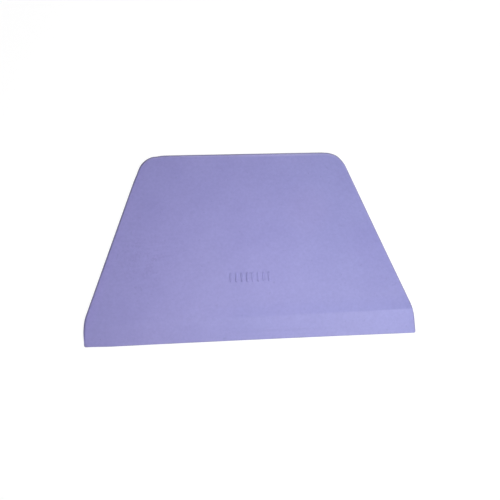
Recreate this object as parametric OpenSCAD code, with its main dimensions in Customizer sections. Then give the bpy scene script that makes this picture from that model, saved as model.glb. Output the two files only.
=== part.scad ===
/* [Outline] */
// Length of the straight blade edge, along X
blade_w = 216; // [150:1:260]
// Depth from the blade edge to the back edge, along Y
plate_d = 128; // [100:1:160]
// Width of the back edge, measured where the side lines would meet it in sharp corners
back_w = 135; // [100:1:140]
// Depth of the straight blade ends, measured where the side lines would meet them
end_d = 15.3; // [12:0.1:24]
// Radius of the two back corners in plan
back_r = 16.4; // [8:0.1:24]
// Radius of the shoulders, where the slanted sides turn into the blade ends
shoulder_r = 32; // [10:0.5:34]
// Radius of the two small corners of the blade edge in plan
corner_r = 1.2; // [0.6:0.1:3]

/* [Thickness and edges] */
// Thickness of the plate
plate_t = 3.2; // [3:0.1:4]
// How far in from the outline the rounding of the upper edge starts
top_in = 2.4; // [1:0.1:3]
// How far down the rounding of the upper edge reaches
top_drop = 1.8; // [0.8:0.1:1.9]
// Rounding of the lower edge, all round except along the blade
under_r = 0.6; // [0.2:0.1:0.8]

/* [Bevel] */
// Thickness left at the middle of the blade edge
blade_t = 0.8; // [0.6:0.1:1.5]
// Width of the bevel at the middle of the blade, from the blade edge to the crease
bevel_w = 14.6; // [12:0.1:20]
// How much wider the bevel is at the right-hand end of the blade than at its middle
bevel_skew = 1.2; // [0:0.1:1.5]

/* [Ribs] */
// Number of plain raised ribs on the face
rib_n = 8; // [2:1:10]
// Distance from one rib to the next
rib_pitch = 3.6; // [3:0.1:5]
// Width of a rib
rib_w = 1.4; // [1:0.1:2]
// Length of a rib, round ends included
rib_l = 6.8; // [4:0.1:10]
// Height of a rib above the face
rib_h = 0.45; // [0.2:0.05:0.8]
// Distance from the blade edge to the middle of the row of ribs
rib_y = 41.3; // [36:0.1:90]

/* [Hidden] */

$fn = 96;
lavender = [0.60, 0.59, 0.80];

y_front = -plate_d / 2;
y_back = plate_d / 2;
y_knee = y_front + end_d;
// lean of the slanted sides from the Y axis
lean = atan2((blade_w - back_w) / 2, y_back - y_knee);
// the shoulder starts no lower than the small blade corner ends
turn_r = min(shoulder_r, (end_d - corner_r - 0.5) / tan(lean / 2));
// centres of the right-hand back corner, shoulder and blade corner
back_c = [blade_w / 2 + (-back_r - (y_back - back_r - y_knee) * sin(lean)) / cos(lean), y_back - back_r];
shoulder_c = [blade_w / 2 - turn_r, y_knee - turn_r * tan(lean / 2)];
corner_c = [blade_w / 2 - corner_r, y_front + corner_r];

// slope of the bevel, square to its crease
skew_a = atan(bevel_skew / (blade_w / 2));
slope_a = atan((plate_t - blade_t) / (bevel_w * cos(skew_a)));

// Outline of the right-hand half, from the blade edge round to the back edge: [centre, radius, angle]
half_outline = [
    for (i = [0 : 4]) [corner_c, corner_r, -90 + i * 90 / 4],
    for (i = [0 : 8]) [shoulder_c, turn_r, i * lean / 8],
    for (i = [0 : 16]) [back_c, back_r, lean + i * (90 - lean) / 16]
];
half_n = len(half_outline);

// Section through the edge, from the underside to the face: [depth in from the outline, height].
// w is 1 on the rounded rim and 0 at the blade edge, where the edge is plain.
function section(w) = let (u = max(under_r * w, 0.02), a = max(top_in * w, 0.02), b = max(top_drop * w, 0.02)) [
    for (i = [0 : 4]) [u - u * sin(i * 90 / 4), u - u * cos(i * 90 / 4)],
    for (i = [0 : 8]) [a - a * cos(i * 90 / 8), plate_t - b + b * sin(i * 90 / 8)]
];
section_n = len(section(1));

// The rim fades to a plain edge round the blade corners, where it stays narrower than their radius
corner_share = min(0.6, 0.85 * corner_r / top_in);
function rim_weight(k) = k < 5 ? corner_share * sin(k * 90 / 4) : k < 6 ? 0.8 : 1;

// Points of the blank, ring by ring, right-hand half then its mirror image
function at(k, m) = let (o = half_outline[k], q = section(rim_weight(k))[m], d = o[1] - q[0])
    [o[0][0] + d * cos(o[2]), o[0][1] + d * sin(o[2]), q[1]];
blank_points = [
    for (k = [0 : half_n - 1]) for (m = [0 : section_n - 1]) at(k, m),
    for (k = [half_n - 1 : -1 : 0]) for (m = [0 : section_n - 1]) let (p = at(k, m)) [-p[0], p[1], p[2]]
];
ring_n = 2 * half_n;
blank_faces = concat(
    [for (k = [0 : ring_n - 1]) for (m = [0 : section_n - 2]) let (n = (k + 1) % ring_n)
        [k * section_n + m, k * section_n + m + 1, n * section_n + m + 1, n * section_n + m]],
    [[for (k = [0 : ring_n - 1]) k * section_n]],
    [[for (k = [ring_n - 1 : -1 : 0]) k * section_n + section_n - 1]]
);

// The plate with its rounded rim, before the blade is bevelled
module blank() {
    polyhedron(points = blank_points, faces = blank_faces);
}

// Everything above the bevel's plane
module bevel_cut() {
    translate([0, y_front + bevel_w, plate_t]) rotate([0, 0, skew_a]) rotate([slope_a, 0, 0])
        translate([-blade_w, -60, 0]) cube([2 * blade_w, 90, 20]);
}

// A raised rib with round ends, its foot sunk into the face
module rib() {
    translate([0, 0, plate_t - 1]) linear_extrude(height = 1 + rib_h) union() {
        translate([-rib_w / 2, -(rib_l - rib_w) / 2]) square([rib_w, rib_l - rib_w]);
        for (s = [-1, 1]) translate([0, s * (rib_l - rib_w) / 2]) circle(r = rib_w / 2);
    }
}

module smoother_plate() {
    color(lavender) union() {
        difference() {
            blank();
            bevel_cut();
        }
        for (i = [0 : rib_n - 1])
            translate([(i - (rib_n - 1) / 2) * rib_pitch, y_front + rib_y, 0]) rib();
    }
}

smoother_plate();
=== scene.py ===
import bpy
import bmesh
import math
from mathutils import Matrix, Vector


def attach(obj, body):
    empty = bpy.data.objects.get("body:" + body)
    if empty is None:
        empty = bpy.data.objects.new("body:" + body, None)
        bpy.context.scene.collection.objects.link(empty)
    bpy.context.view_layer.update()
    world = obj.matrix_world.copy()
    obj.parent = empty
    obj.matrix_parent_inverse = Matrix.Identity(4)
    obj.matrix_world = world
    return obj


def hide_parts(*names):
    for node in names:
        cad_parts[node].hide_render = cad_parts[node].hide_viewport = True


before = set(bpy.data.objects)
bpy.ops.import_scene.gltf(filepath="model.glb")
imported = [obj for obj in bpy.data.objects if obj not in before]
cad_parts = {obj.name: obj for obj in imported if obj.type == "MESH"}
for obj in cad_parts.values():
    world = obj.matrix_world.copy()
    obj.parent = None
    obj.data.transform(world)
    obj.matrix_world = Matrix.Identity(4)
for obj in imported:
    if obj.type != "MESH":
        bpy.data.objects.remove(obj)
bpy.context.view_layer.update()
scene = bpy.context.scene

# ------------------------------------------------------------------ camera
# The rows are the camera's right, down and forward directions in the part's frame.
R = ((0.99320616, -0.06048366, 0.09941461),
     (-0.03331116, -0.96633542, -0.25512002),
     (0.11149846, 0.25007515, -0.96178506))
C = (-0.05642682, -0.13351748, 0.49943559)
cam_data = bpy.data.cameras.new("camera")
cam_data.sensor_width = 36.0
cam_data.sensor_fit = "HORIZONTAL"
cam_data.lens = 780.0 / 500.0 * 36.0
cam_data.clip_start = 0.01
cam_data.clip_end = 20.0
cam = bpy.data.objects.new("camera", cam_data)
scene.collection.objects.link(cam)
m = Matrix.Identity(4)
for i in range(3):
    m[i][0] = R[0][i]
    m[i][1] = -R[1][i]
    m[i][2] = -R[2][i]
    m[i][3] = C[i]
cam.matrix_world = m
scene.camera = cam

# ------------------------------------------------------------------ lights and floor
FLOOR_ALBEDO = 0.20
FLOOR_GLOW = 0.87
SKY = 0.288
LIGHTS = [("key", (0.063, -0.103, 0.302), (0.03, -0.02, 0.0), 0.20, 0.296), ("key_right", (0.10, -0.06, 0.25), (0.05, -0.02, 0.0), 0.20, 0.174), ("key_left", (-0.02, -0.04, 0.22), (-0.02, -0.03, 0.0), 0.12, 0.0885), ("fill", (0.42, -0.26, 0.52), (0.05, -0.02, 0.0), 0.45, 1.077), ("rim", (0.15, 0.42, 0.20), (0.0, 0.0, 0.0), 0.15, 0.416)]

world = bpy.data.worlds.new("soft_white")
scene.world = world
world.use_nodes = True
world.node_tree.nodes["Background"].inputs["Color"].default_value = (1.0, 1.0, 1.0, 1.0)
world.node_tree.nodes["Background"].inputs["Strength"].default_value = SKY

floor_mesh = bpy.data.meshes.new("floor")
floor_mesh.from_pydata([(-3, -3, 0), (3, -3, 0), (3, 3, 0), (-3, 3, 0)], [], [(0, 1, 2, 3)])
floor = bpy.data.objects.new("floor", floor_mesh)
scene.collection.objects.link(floor)
fm = bpy.data.materials.new("floor_white")
fm.use_nodes = True
fb = fm.node_tree.nodes["Principled BSDF"]
fb.inputs["Base Color"].default_value = (FLOOR_ALBEDO, FLOOR_ALBEDO, FLOOR_ALBEDO, 1.0)
fb.inputs["Roughness"].default_value = 0.95
fb.inputs["Specular IOR Level"].default_value = 0.1
fb.inputs["Emission Color"].default_value = (1.0, 1.0, 1.0, 1.0)
# the far floor, away from the lamps, glows a little more, so that it's as pale as the floor near the part
f_coord = fm.node_tree.nodes.new("ShaderNodeTexCoord")
f_len = fm.node_tree.nodes.new("ShaderNodeVectorMath")
f_len.operation = "LENGTH"
fm.node_tree.links.new(f_coord.outputs["Object"], f_len.inputs[0])
f_map = fm.node_tree.nodes.new("ShaderNodeMapRange")
f_map.interpolation_type = "SMOOTHSTEP"
for key, v in (("From Min", 0.30), ("From Max", 0.80), ("To Min", FLOOR_GLOW), ("To Max", FLOOR_GLOW + 0.13)):
    f_map.inputs[key].default_value = v
fm.node_tree.links.new(f_len.outputs["Value"], f_map.inputs["Value"])
fm.node_tree.links.new(f_map.outputs["Result"], fb.inputs["Emission Strength"])
floor_mesh.materials.append(fm)

# a pale wall far round the part, which the light passes through and only low views see
WALL_R, WALL_H = 2.9, 3.0
ring = [(WALL_R * math.cos(i * math.pi / 32), WALL_R * math.sin(i * math.pi / 32)) for i in range(64)]
wall_mesh = bpy.data.meshes.new("wall")
wall_mesh.from_pydata([(x, y, z) for z in (0.0, WALL_H) for x, y in ring], [],
                      [(i, (i + 1) % 64, (i + 1) % 64 + 64, i + 64) for i in range(64)])
wall = bpy.data.objects.new("wall", wall_mesh)
scene.collection.objects.link(wall)
wm = bpy.data.materials.new("wall_white")
wm.use_nodes = True
wb = wm.node_tree.nodes["Principled BSDF"]
wb.inputs["Base Color"].default_value = (0.0, 0.0, 0.0, 1.0)
wb.inputs["Specular IOR Level"].default_value = 0.0
wb.inputs["Emission Color"].default_value = (1.0, 1.0, 1.0, 1.0)
wb.inputs["Emission Strength"].default_value = 1.02
wall_mesh.materials.append(wm)
wall.visible_diffuse = False
wall.visible_glossy = False
wall.visible_transmission = False
wall.visible_shadow = False


def area(name, loc, target, size, power):
    d = bpy.data.lights.new(name, "AREA")
    d.shape = "DISK"
    d.size = size
    d.energy = power
    o = bpy.data.objects.new(name, d)
    o.location = loc
    o.rotation_mode = "QUATERNION"
    o.rotation_quaternion = (Vector(target) - Vector(loc)).to_track_quat("-Z", "Y")
    o.visible_camera = False
    scene.collection.objects.link(o)
    return o


for light in LIGHTS:
    area(*light)

scene.view_settings.view_transform = "Standard"
scene.view_settings.look = "None"
scene.view_settings.exposure = 0.0
scene.view_settings.gamma = 1.0

# ------------------------------------------------------------------ the plate, in millimetres
W, D, BACK_W, END_D = 216.0, 128.0, 135.0, 15.3
BACK_R, SHOULDER_R, CORNER_R = 16.4, 32.0, 1.2
T, BLADE_T, BEVEL_W, BEVEL_SKEW = 3.2, 0.8, 14.6, 1.2
TOP_IN, TOP_DROP, UNDER_R = 2.4, 1.8, 0.6
NOSE_R, NOSE_UNDER = 0.22, 0.15
RIB_N, RIB_PITCH, RIB_W, RIB_L, RIB_H, RIB_Y = 8, 3.6, 1.4, 6.4, 0.40, 41.3
BOW = 0.32

Y0, Y1 = -D / 2, D / 2
KNEE = Y0 + END_D
LEAN = math.atan2((W - BACK_W) / 2, Y1 - KNEE)
BACK_C = (W / 2 + (-BACK_R - (Y1 - BACK_R - KNEE) * math.sin(LEAN)) / math.cos(LEAN), Y1 - BACK_R)
SHOULDER_C = (W / 2 - SHOULDER_R, KNEE - SHOULDER_R * math.tan(LEAN / 2))
CORNER_C = (W / 2 - CORNER_R, Y0 + CORNER_R)
SKEW = math.atan(BEVEL_SKEW / (W / 2))
SLOPE = math.atan((T - BLADE_T) / (BEVEL_W * math.cos(SKEW)))


def smooth(a, b, v):
    t = min(1.0, max(0.0, (v - a) / (b - a)))
    return t * t * (3 - 2 * t)


def soft_ramp(d, k):
    """0 for d well above 0, and -d well below it, turning over a width of about 2 k."""
    v = -d / k
    return k * (v if v > 30 else math.log1p(math.exp(v)))


def crease(x, y):
    """Distance from the bevel's crease, above 0 towards the back edge."""
    return -x * math.sin(SKEW) + (y - Y0 - BEVEL_W) * math.cos(SKEW)


def wave(x, y):
    """The faint unevenness of a thin moulding."""
    return (0.020 * math.sin(x * 0.118 + 0.6) * math.sin(y * 0.094 + 1.1)
            + 0.012 * math.sin(x * 0.061 + y * 0.171 + 2.0)
            + 0.008 * math.sin(x * 0.213 - y * 0.087 + 0.4))


def rib(x, y):
    best = 0.0
    if abs(y - Y0 - RIB_Y) > RIB_L or abs(x) > RIB_N * RIB_PITCH:
        return 0.0
    for i in range(RIB_N):
        cx = (i - (RIB_N - 1) / 2) * RIB_PITCH
        half = (RIB_L - RIB_W) / 2
        dy = y - (Y0 + RIB_Y)
        dy = dy - max(-half, min(half, dy))
        d = math.hypot(x - cx, dy)
        best = max(best, 1.0 - smooth(RIB_W / 2 - 0.27, RIB_W / 2 + 0.14, d))
    return RIB_H * best


def height(x, y):
    """Height of the upper face."""
    z = T - math.tan(SLOPE) * soft_ramp(crease(x, y), 0.28)
    side = smooth(-14, 6, x) * (1 - smooth(58, 78, x))
    z -= math.tan(math.radians(1.3)) * soft_ramp(y - (Y0 + 5.3), 0.25) * side
    keep = smooth(0, 8, crease(x, y))
    return z + wave(x, y) * keep + rib(x, y)


def outline():
    """Points of the outline with their outward normals, from the middle of the blade edge, counter-clockwise."""
    half = []

    def line(a, b, n, step):
        count = max(1, int(math.hypot(b[0] - a[0], b[1] - a[1]) / step))
        for k in range(count):
            t = k / count
            half.append((a[0] + (b[0] - a[0]) * t, a[1] + (b[1] - a[1]) * t, n[0], n[1]))

    def arc(c, r, a, b, count):
        for k in range(count):
            t = a + (b - a) * k / count
            half.append((c[0] + r * math.cos(t), c[1] + r * math.sin(t), math.cos(t), math.sin(t)))

    n = (math.cos(LEAN), math.sin(LEAN))
    line((0.0, Y0), (CORNER_C[0], Y0), (0.0, -1.0), 1.5)
    arc(CORNER_C, CORNER_R, -math.pi / 2, 0.0, 12)
    line((W / 2, CORNER_C[1]), (W / 2, SHOULDER_C[1]), (1.0, 0.0), 0.7)
    arc(SHOULDER_C, SHOULDER_R, 0.0, LEAN, 24)
    line((SHOULDER_C[0] + SHOULDER_R * n[0], SHOULDER_C[1] + SHOULDER_R * n[1]),
         (BACK_C[0] + BACK_R * n[0], BACK_C[1] + BACK_R * n[1]), n, 2.0)
    arc(BACK_C, BACK_R, LEAN, math.pi / 2, 48)
    line((BACK_C[0], Y1), (0.0, Y1), (0.0, 1.0), 2.0)
    half.append((0.0, Y1, 0.0, 1.0))
    left = [(-x, y, -nx, ny) for x, y, nx, ny in reversed(half[1:-1])]
    return half + left


def hump(v, at, width):
    return math.exp(-((v - at) / width) ** 2)


def build_plate():
    pts = []
    for x, y, nx, ny in outline():
        bow = BOW * (1 - (x / (W / 2)) ** 2) * smooth(-0.6, -1.0, ny)
        # the left-hand blade corner is worn back a little
        worn = smooth(-88, -108, x) * smooth(Y0 + 12, Y0, y)
        # the back corners aren't true arcs: the right-hand one is fuller, the left-hand one is flatter at its ends
        turn = math.degrees(math.atan2(ny, abs(nx)))
        if x > 0:
            off = (0.33 * hump(turn, 55.5, 12) * smooth(90, 80, turn) - 0.20 * hump(x, 57.3, 1.8) * smooth(60, 63, y)
                   - 0.10 * hump(y, 0, 24) * smooth(0.5, 0.9, nx))
        else:
            off = (-0.36 * hump(y, 52.5, 4.5) - 0.50 * hump(x, -58.0, 2.6) * smooth(60, 63, y)
                   - 0.20 * hump(y, -51.5, 3.5) * smooth(0.5, 0.9, -nx))
        pts.append((x + 0.5 * worn + off * nx, y + bow + 0.45 * worn + off * ny, nx, ny))
    bm = bmesh.new()
    marked = bm.faces.layers.int.new("upper")
    # vertex layers that carry painted shade on the rim's steep part and a painted highlight on its roll
    rim_shade = bm.verts.layers.float.new("rim_painted_shade")
    rim_highlight = bm.verts.layers.float.new("rim_painted_highlight")
    rings = []
    for x, y, nx, ny in pts:
        blade = smooth(-0.25, -1.0, ny)
        local = height(x - nx * 0.8, y - ny * 0.8)
        reach = TOP_IN + 0.8 * smooth(0.45, 0.95, ny) - 0.4 * smooth(0.5, 0.9, abs(nx))
        ri = min(reach, (0.70 + 0.35 * smooth(0.45, 0.95, ny)) * local) * (1 - blade) + NOSE_R * blade
        rt = min(TOP_DROP, 0.50 * local) * (1 - blade) + NOSE_R * blade
        ru = min(UNDER_R, 0.22 * local) * (1 - blade) + NOSE_UNDER * blade
        top = height(x - nx * ri, y - ny * ri)
        ring = []
        for k in range(6):
            a = k * math.pi / 2 / 5
            ring.append((ru - ru * math.sin(a), ru - ru * math.cos(a)))
        for k in range(11):
            a = k * math.pi / 2 / 10
            ring.append((ri - ri * math.cos(a), top - rt + rt * math.sin(a)))
        rings.append([bm.verts.new((x - nx * u, y - ny * u, z)) for u, z in ring])
        left, right, back = smooth(0.3, 0.9, -nx) * smooth(Y0 + 4, Y0 + 16, y), smooth(0.3, 0.9, nx), smooth(0.3, 0.9, ny)
        for k, v in enumerate(rings[-1]):
            u = ring[k][0] if k > 5 else 0.0
            # the steep part's painted shade, strongest at the left-hand side and the back
            steep = (0.58 * left * (1 - smooth(0.5, 1.25, u)) + 0.88 * back * (1 - smooth(0.6, 1.3, u))
                     + (0.41 * right + 0.25 * blade) * (1 - smooth(0.3, 1.0, u)))
            east = smooth(-30, 30, x) * back
            # the roll's painted highlight, strongest along the back
            roll = smooth(0.7, 1.1, u) * (1 - smooth(1.6 + 0.6 * east, 2.9 + 0.4 * east, u))
            if k < 16:
                v[rim_shade] = min(1.0, steep) * (1.0 if k > 5 else 0.35)
                v[rim_highlight] = roll * max((0.62 * back + 0.3 * east) * (1 - 0.6 * smooth(38, 58, x)), 0.28 * right, 0.2 * left) * (1 - blade)
    count = len(rings)
    for i in range(count):
        a, b = rings[i], rings[(i + 1) % count]
        for k in range(len(a) - 1):
            bm.faces.new((a[k], b[k], b[k + 1], a[k + 1]))
    bm.faces.new([r[0] for r in reversed(rings)])
    cap = bm.faces.new([r[-1] for r in rings])
    bm.normal_update()

    # the upper face is cut into a grid, which is fine round the crease and the ribs
    cap[marked] = 1

    def cut(point, normal, box=None):
        faces = []
        for f in bm.faces:
            if f[marked] != 1:
                continue
            if box:
                c = f.calc_center_median()
                if not (box[0] < c.x < box[1] and box[2] < c.y < box[3]):
                    continue
            faces.append(f)
        edges = {e for f in faces for e in f.edges}
        verts = {v for f in faces for v in f.verts}
        bmesh.ops.bisect_plane(bm, geom=list(verts) + list(edges) + faces, dist=1e-4,
                               plane_co=point, plane_no=normal)

    across = (-math.sin(SKEW), math.cos(SKEW), 0.0)
    for d in (-1.6, -1.0, -0.6, -0.3, 0.0, 0.3, 0.6, 1.0, 1.6):
        cut((across[0] * d, Y0 + BEVEL_W + across[1] * d, 0), across)
    for d in (4.2, 4.8, 5.1, 5.35, 5.6, 5.9, 6.5):
        cut((0, Y0 + d, 0), (0, 1, 0))
    wx, wy = RIB_N * RIB_PITCH / 2 + 1.2, RIB_L / 2 + 1.2
    ry = Y0 + RIB_Y
    for p, n in (((wx, 0, 0), (1, 0, 0)), ((-wx, 0, 0), (1, 0, 0)), ((0, ry + wy, 0), (0, 1, 0)), ((0, ry - wy, 0), (0, 1, 0))):
        cut(p, n)
    window = (-wx, wx, ry - wy, ry + wy)
    step = 0.2
    for k in range(1, int(2 * wx / step)):
        cut((-wx + k * step, 0, 0), (1, 0, 0), window)
    for k in range(1, int(2 * wy / step)):
        cut((0, ry - wy + k * step, 0), (0, 1, 0), window)
    window_faces = 0
    for f in bm.faces:
        if f[marked] == 1:
            c = f.calc_center_median()
            if window[0] < c.x < window[1] and window[2] < c.y < window[3]:
                f[marked] = 2
                window_faces += 1
    for x in range(-105, 106, 5):
        cut((x + 0.5, 0, 0), (1, 0, 0))
    for y in range(-60, 62, 5):
        cut((0, y + 0.5, 0), (0, 1, 0))
    on_rim = {v for r in rings for v in r}
    for f in bm.faces:
        if f[marked]:
            for v in f.verts:
                if v not in on_rim:
                    v.co.z = height(v.co.x, v.co.y)
    # corners that a cut added to the rim's inner edge lie on the same face
    bmesh.ops.triangulate(bm, faces=[f for f in bm.faces if len(f.verts) > 4])
    bm.faces.layers.int.remove(marked)
    bmesh.ops.scale(bm, vec=(0.001, 0.001, 0.001), verts=bm.verts)
    bm.normal_update()
    mesh = bpy.data.meshes.new("plate")
    bm.to_mesh(mesh)
    bm.free()
    for p in mesh.polygons:
        p.use_smooth = True
    mesh.set_sharp_from_angle(angle=math.radians(35))
    o = bpy.data.objects.new("plate", mesh)
    scene.collection.objects.link(o)
    return o


# ------------------------------------------------------------------ material
def lavender():
    mat = bpy.data.materials.new("lavender_plastic")
    mat.use_nodes = True
    t = mat.node_tree
    b = t.nodes["Principled BSDF"]
    coord = t.nodes.new("ShaderNodeTexCoord")

    def noise(scale, detail, stretch=(1, 1, 1), rough=0.5):
        mp = t.nodes.new("ShaderNodeMapping")
        mp.inputs["Scale"].default_value = stretch
        t.links.new(coord.outputs["Object"], mp.inputs["Vector"])
        n = t.nodes.new("ShaderNodeTexNoise")
        n.inputs["Scale"].default_value = scale
        n.inputs["Detail"].default_value = detail
        n.inputs["Roughness"].default_value = rough
        t.links.new(mp.outputs["Vector"], n.inputs["Vector"])
        return n

    def ramp(src, stops):
        r = t.nodes.new("ShaderNodeValToRGB")
        e = r.color_ramp.elements
        while len(e) < len(stops):
            e.new(0.5)
        for s, (pos, c) in zip(e, stops):
            s.position = pos
            s.color = (*c, 1.0) if len(c) == 3 else c
        t.links.new(src, r.inputs["Fac"])
        return r

    def mix(kind, fac, a, c):
        n = t.nodes.new("ShaderNodeMix")
        n.data_type = "RGBA"
        n.blend_type = kind
        n.inputs["Factor"].default_value = fac
        t.links.new(a, n.inputs["A"])
        t.links.new(c, n.inputs["B"])
        return n.outputs["Result"]

    def attribute(name):
        n = t.nodes.new("ShaderNodeAttribute")
        n.attribute_name = name
        return n.outputs["Fac"]

    def scaled(src, a, c, lo, hi):
        n = t.nodes.new("ShaderNodeMapRange")
        n.interpolation_type = "SMOOTHSTEP"
        for key, v in (("From Min", a), ("From Max", c), ("To Min", lo), ("To Max", hi)):
            n.inputs[key].default_value = v
        t.links.new(src, n.inputs["Value"])
        return n.outputs["Result"]

    def tint(col, mask, c):
        n = t.nodes.new("ShaderNodeMix")
        n.data_type = "RGBA"
        n.blend_type = "MULTIPLY"
        t.links.new(mask, n.inputs["Factor"])
        t.links.new(col, n.inputs["A"])
        n.inputs["B"].default_value = (*c, 1.0)
        return n.outputs["Result"]

    def product(a, c):
        n = t.nodes.new("ShaderNodeMath")
        n.operation = "MULTIPLY"
        t.links.new(a, n.inputs[0])
        t.links.new(c, n.inputs[1])
        return n.outputs["Value"]

    base = ramp(noise(40.0, 2.0).outputs["Fac"], [(0.30, (0.286, 0.2765, 0.5825)), (0.70, (0.303, 0.2925, 0.6035))])
    cloud = ramp(noise(190.0, 3.0, rough=0.65).outputs["Fac"], [(0.3, (0.970, 0.970, 0.976)), (0.7, (1.0, 1.0, 1.0))])
    grain = ramp(noise(540.0, 2.0, rough=0.55).outputs["Fac"], [(0.3, (0.925, 0.925, 0.940)), (0.7, (1.0, 1.0, 1.0))])
    streak = ramp(noise(60.0, 3.0, (1.0, 6.0, 1.0)).outputs["Fac"], [(0.35, (0.988, 0.988, 0.991)), (0.65, (1.0, 1.0, 1.0))])
    speck = ramp(noise(430.0, 1.0).outputs["Fac"], [(0.24, (0.92, 0.92, 0.93)), (0.29, (1.0, 1.0, 1.0))])
    col = mix("MULTIPLY", 1.0, base.outputs["Color"], cloud.outputs["Color"])
    for layer in (grain, streak, speck):
        col = mix("MULTIPLY", 1.0, col, layer.outputs["Color"])

    # painted shade darkens the rim where it is steep, and a painted highlight makes it paler on its roll
    col = tint(col, attribute("rim_painted_shade"), (0.46, 0.46, 0.37))
    col = tint(col, attribute("rim_painted_highlight"), (1.24, 1.22, 1.10))
    # painted shade makes the bevel a little deeper in tone at its middle, and a painted highlight makes it paler at
    # its right-hand end
    dot = t.nodes.new("ShaderNodeVectorMath")
    dot.operation = "DOT_PRODUCT"
    t.links.new(coord.outputs["Object"], dot.inputs[0])
    dot.inputs[1].default_value = (-math.sin(SKEW), math.cos(SKEW), 0.0)
    line = (Y0 + BEVEL_W) * math.cos(SKEW) / 1000
    on_bevel = scaled(dot.outputs["Value"], line - 0.0005, line + 0.0005, 1.0, 0.0)
    sep = t.nodes.new("ShaderNodeSeparateXYZ")
    t.links.new(coord.outputs["Object"], sep.inputs["Vector"])
    middle = product(scaled(sep.outputs["X"], -0.065, -0.020, 0.0, 1.0), scaled(sep.outputs["X"], 0.025, 0.075, 1.0, 0.0))
    col = tint(col, product(on_bevel, middle), (0.945, 0.955, 0.985))
    col = tint(col, product(on_bevel, scaled(sep.outputs["X"], 0.055, 0.098, 0.0, 1.0)), (1.085, 1.10, 1.085))
    # a hairline runs along the bevel, nearer to the blade
    hair = product(scaled(sep.outputs["Y"], -0.0598, -0.0586, 0.0, 1.0), scaled(sep.outputs["Y"], -0.0582, -0.0570, 1.0, 0.0))
    span = product(scaled(sep.outputs["X"], -0.030, 0.010, 0.0, 1.0), scaled(sep.outputs["X"], 0.030, 0.070, 1.0, 0.0))
    col = tint(col, product(hair, span), (0.960, 0.960, 0.970))
    # and painted shade makes the face a touch deeper in tone along the crease
    above = scaled(dot.outputs["Value"], line - 0.0005, line + 0.0005, 0.0, 1.0)
    strip = product(above, scaled(dot.outputs["Value"], line + 0.002, line + 0.012, 1.0, 0.0))
    col = tint(col, product(strip, scaled(sep.outputs["X"], -0.045, 0.0, 0.0, 1.0)), (0.945, 0.955, 0.985))
    # the hue drifts a little from the left-hand end to the right-hand one
    col = tint(col, scaled(sep.outputs["X"], -0.070, -0.010, 1.0, 0.0), (1.010, 0.992, 1.006))
    col = tint(col, scaled(sep.outputs["X"], -0.010, 0.070, 0.0, 1.0), (0.988, 1.020, 1.0))

    def spot(x, y, z, near, far):
        n = t.nodes.new("ShaderNodeVectorMath")
        n.operation = "DISTANCE"
        t.links.new(coord.outputs["Object"], n.inputs[0])
        n.inputs[1].default_value = (x / 1000, y / 1000, z / 1000)
        return scaled(n.outputs["Value"], near / 1000, far / 1000, 1.0, 0.0)

    # faint scuffs at the left of the face
    scuff = scaled(noise(520.0, 3.0, rough=0.6).outputs["Fac"], 0.37, 0.52, 1.0, 0.0)
    col = tint(col, product(scuff, spot(-68, -8, T, 4, 28)), (0.925, 0.915, 0.935))
    # the face is rubbed a little paler along its left-hand side
    side = t.nodes.new("ShaderNodeVectorMath")
    side.operation = "DOT_PRODUCT"
    t.links.new(coord.outputs["Object"], side.inputs[0])
    side.inputs[1].default_value = (math.cos(LEAN), -math.sin(LEAN), 0.0)
    start = -(SHOULDER_C[0] * math.cos(LEAN) + SHOULDER_R + SHOULDER_C[1] * math.sin(LEAN)) / 1000
    margin = scaled(side.outputs["Value"], start + 0.002, start + 0.009, 1.0, 0.0)
    col = tint(col, product(margin, scaled(sep.outputs["Y"], -0.030, 0.020, 1.0, 0.35)), (1.045, 1.022, 1.045))
    # painted light and shade: slow patches where the face is a little paler or darker, and the darkened left-hand
    # corner of the blade
    for x, y, near, far, c in ((-62, 44, 6, 26, (0.966, 0.972, 0.980)), (42, 23, 6, 22, (1.042, 1.022, 1.010)),
                               (-30, -13, 6, 26, (1.030, 1.028, 1.010)), (83, -3, 6, 24, (0.960, 0.955, 0.980)),
                               (0, -50, 6, 17, (0.958, 0.970, 0.975))):
        col = tint(col, spot(x, y, T, near, far), c)
    col = tint(col, spot(-107.3, -63.4, 0.5, 0.6, 3.2), (0.80, 0.80, 0.80))
    t.links.new(col, b.inputs["Base Color"])

    rr = t.nodes.new("ShaderNodeMapRange")
    rr.inputs["To Min"].default_value = 0.41
    rr.inputs["To Max"].default_value = 0.49
    t.links.new(noise(90.0, 3.0).outputs["Fac"], rr.inputs["Value"])
    t.links.new(rr.outputs["Result"], b.inputs["Roughness"])

    bump = t.nodes.new("ShaderNodeBump")
    bump.inputs["Strength"].default_value = 0.10
    bump.inputs["Distance"].default_value = 0.0002
    t.links.new(noise(1100.0, 4.0).outputs["Fac"], bump.inputs["Height"])
    t.links.new(bump.outputs["Normal"], b.inputs["Normal"])
    b.inputs["Specular IOR Level"].default_value = 0.4
    return mat


plastic = lavender()
cad_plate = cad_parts["smoother_plate"]
cad_plate.data.materials.clear()
cad_plate.data.materials.append(plastic)

plate = build_plate()
plate.data.materials.append(plastic)
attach(plate, "root")
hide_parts("smoother_plate")
